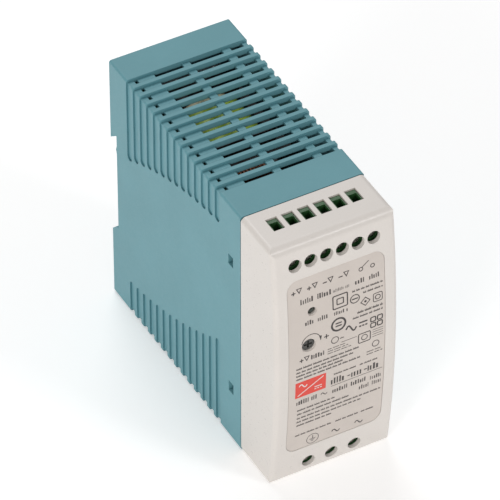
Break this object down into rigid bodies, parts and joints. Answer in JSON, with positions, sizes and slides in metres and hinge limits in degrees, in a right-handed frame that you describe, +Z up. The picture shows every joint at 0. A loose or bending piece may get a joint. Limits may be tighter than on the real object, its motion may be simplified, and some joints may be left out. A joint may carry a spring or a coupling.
{
  "type": "din rail power supply",
  "caption": "Vented switching power supply in a narrow plastic case that snaps on a top-hat rail, with screw clamps at the top and base.",
  "frame": {"origin": "bottom centre of the outer box", "axes": "+Z up along the rail supply's height, -Y out of the front cover, +Y towards the rail, +X to the right as seen from the front"},
  "size_m": [0.04, 0.1, 0.09],
  "materials": {
    "housing": "fine matte moulded texture",
    "cover": "satin moulded plastic",
    "label": "satin printed film",
    "latch": "matte moulded plastic",
    "spring": "drawn steel wire",
    "terminal_green": "semi-gloss moulded plastic",
    "clamp_steel": "zinc-plated steel",
    "contact": "tinned brass",
    "board": "solder-masked glass-epoxy laminate",
    "black_plastic": "moulded epoxy",
    "sheet": "thin insulating film",
    "ferrite": "sintered ferrite",
    "tape": "polyester winding tape",
    "cap_sleeve": "shrunk sleeve",
    "copper": "enamelled copper wire",
    "film_cap": "potted box capacitor",
    "blue_disc": "dipped epoxy coating",
    "green_disc": "dipped epoxy coating",
    "heatsink": "mill-finish aluminium",
    "fuse": "ceramic tube with plated caps",
    "lamp_lens": "tinted clear epoxy",
    "trimmer_blue": "moulded plastic",
    "rotor": "moulded plastic"
  },
  "bodies": {
    "enclosure": {"rear_housing": "housing", "front_cover": "cover", "front_label": "label", "latch_spring": "spring", "output_terminal_housing": "terminal_green", "output_contacts": "contact", "input_terminal_housing": "terminal_green", "input_contacts": "contact", "main_board": "board", "terminal_board": "board", "indicator_board": "board", "board_headers": "black_plastic", "insulation_sheet": "sheet", "transformer_core": "ferrite", "transformer_bobbin": "black_plastic", "transformer_winding": "tape", "bulk_capacitor": "cap_sleeve", "output_capacitors": "cap_sleeve", "input_choke_core": "ferrite", "input_choke_windings": "copper", "output_choke_core": "ferrite", "output_choke_winding": "copper", "x_capacitor": "film_cap", "y_capacitors": "blue_disc", "bridge_rectifier": "black_plastic", "primary_heatsink": "heatsink", "power_transistor": "black_plastic", "secondary_heatsink": "heatsink", "output_diode": "black_plastic", "device_screws": "clamp_steel", "fuse": "fuse", "thermistor": "green_disc", "varistor": "blue_disc", "relay": "black_plastic", "optocouplers": "black_plastic", "controller_chip": "black_plastic", "status_lamp": "lamp_lens", "trimmer_body": "trimmer_blue"},
    "latch": {"rail_latch": "latch"},
    "trimmer": {"trimmer_rotor": "rotor"},
    "output_screw_1": {"output_screw_1": "clamp_steel"},
    "output_cage_1": {"output_cage_1": "clamp_steel"},
    "output_screw_2": {"output_screw_2": "clamp_steel"},
    "output_cage_2": {"output_cage_2": "clamp_steel"},
    "output_screw_3": {"output_screw_3": "clamp_steel"},
    "output_cage_3": {"output_cage_3": "clamp_steel"},
    "output_screw_4": {"output_screw_4": "clamp_steel"},
    "output_cage_4": {"output_cage_4": "clamp_steel"},
    "output_screw_5": {"output_screw_5": "clamp_steel"},
    "output_cage_5": {"output_cage_5": "clamp_steel"},
    "output_screw_6": {"output_screw_6": "clamp_steel"},
    "output_cage_6": {"output_cage_6": "clamp_steel"},
    "input_screw_1": {"input_screw_1": "clamp_steel"},
    "input_cage_1": {"input_cage_1": "clamp_steel"},
    "input_screw_2": {"input_screw_2": "clamp_steel"},
    "input_cage_2": {"input_cage_2": "clamp_steel"},
    "input_screw_3": {"input_screw_3": "clamp_steel"},
    "input_cage_3": {"input_cage_3": "clamp_steel"}
  },
  "joints": [
    {"name": "latch_slide", "type": "slide", "parent": "enclosure", "child": "latch", "axis": [0, 0, -1], "range_m": [0, 0.004], "stiffness_N_per_m": 600, "springref_m": -0.001, "deforming": ["latch_spring"]},
    {"name": "trimmer_turn", "type": "hinge", "parent": "enclosure", "child": "trimmer", "pos_m": [-0.0092, -0.0465, 0.0532], "axis": [0, 1, 0], "range_deg": [-135, 135]},
    {"name": "output_screw_turn_1", "type": "hinge", "parent": "enclosure", "child": "output_screw_1", "pos_m": [-0.0127, -0.0442, 0.083], "axis": [0, 1, 0], "range_deg": [0, 2160]},
    {"name": "output_cage_slide_1", "type": "slide", "parent": "enclosure", "child": "output_cage_1", "axis": [0, -1, 0], "range_m": [0, 0.003]},
    {"name": "output_screw_turn_2", "type": "hinge", "parent": "enclosure", "child": "output_screw_2", "pos_m": [-0.00762, -0.0442, 0.083], "axis": [0, 1, 0], "range_deg": [0, 2160]},
    {"name": "output_cage_slide_2", "type": "slide", "parent": "enclosure", "child": "output_cage_2", "axis": [0, -1, 0], "range_m": [0, 0.003]},
    {"name": "output_screw_turn_3", "type": "hinge", "parent": "enclosure", "child": "output_screw_3", "pos_m": [-0.00254, -0.0442, 0.083], "axis": [0, 1, 0], "range_deg": [0, 2160]},
    {"name": "output_cage_slide_3", "type": "slide", "parent": "enclosure", "child": "output_cage_3", "axis": [0, -1, 0], "range_m": [0, 0.003]},
    {"name": "output_screw_turn_4", "type": "hinge", "parent": "enclosure", "child": "output_screw_4", "pos_m": [0.00254, -0.0442, 0.083], "axis": [0, 1, 0], "range_deg": [0, 2160]},
    {"name": "output_cage_slide_4", "type": "slide", "parent": "enclosure", "child": "output_cage_4", "axis": [0, -1, 0], "range_m": [0, 0.003]},
    {"name": "output_screw_turn_5", "type": "hinge", "parent": "enclosure", "child": "output_screw_5", "pos_m": [0.00762, -0.0442, 0.083], "axis": [0, 1, 0], "range_deg": [0, 2160]},
    {"name": "output_cage_slide_5", "type": "slide", "parent": "enclosure", "child": "output_cage_5", "axis": [0, -1, 0], "range_m": [0, 0.003]},
    {"name": "output_screw_turn_6", "type": "hinge", "parent": "enclosure", "child": "output_screw_6", "pos_m": [0.0127, -0.0442, 0.083], "axis": [0, 1, 0], "range_deg": [0, 2160]},
    {"name": "output_cage_slide_6", "type": "slide", "parent": "enclosure", "child": "output_cage_6", "axis": [0, -1, 0], "range_m": [0, 0.003]},
    {"name": "input_screw_turn_1", "type": "hinge", "parent": "enclosure", "child": "input_screw_1", "pos_m": [-0.00762, -0.0442, 0.0052], "axis": [0, 1, 0], "range_deg": [0, 2160]},
    {"name": "input_cage_slide_1", "type": "slide", "parent": "enclosure", "child": "input_cage_1", "axis": [0, -1, 0], "range_m": [0, 0.003]},
    {"name": "input_screw_turn_2", "type": "hinge", "parent": "enclosure", "child": "input_screw_2", "pos_m": [0, -0.0442, 0.0052], "axis": [0, 1, 0], "range_deg": [0, 2160]},
    {"name": "input_cage_slide_2", "type": "slide", "parent": "enclosure", "child": "input_cage_2", "axis": [0, -1, 0], "range_m": [0, 0.003]},
    {"name": "input_screw_turn_3", "type": "hinge", "parent": "enclosure", "child": "input_screw_3", "pos_m": [0.00762, -0.0442, 0.0052], "axis": [0, 1, 0], "range_deg": [0, 2160]},
    {"name": "input_cage_slide_3", "type": "slide", "parent": "enclosure", "child": "input_cage_3", "axis": [0, -1, 0], "range_m": [0, 0.003]}
  ],
  "couplings": [
    {"joint": "output_screw_turn_1", "follows": "output_cage_slide_1", "rad_per_m": 12566},
    {"joint": "output_screw_turn_2", "follows": "output_cage_slide_2", "rad_per_m": 12566},
    {"joint": "output_screw_turn_3", "follows": "output_cage_slide_3", "rad_per_m": 12566},
    {"joint": "output_screw_turn_4", "follows": "output_cage_slide_4", "rad_per_m": 12566},
    {"joint": "output_screw_turn_5", "follows": "output_cage_slide_5", "rad_per_m": 12566},
    {"joint": "output_screw_turn_6", "follows": "output_cage_slide_6", "rad_per_m": 12566},
    {"joint": "input_screw_turn_1", "follows": "input_cage_slide_1", "rad_per_m": 12566},
    {"joint": "input_screw_turn_2", "follows": "input_cage_slide_2", "rad_per_m": 12566},
    {"joint": "input_screw_turn_3", "follows": "input_cage_slide_3", "rad_per_m": 12566}
  ]
}
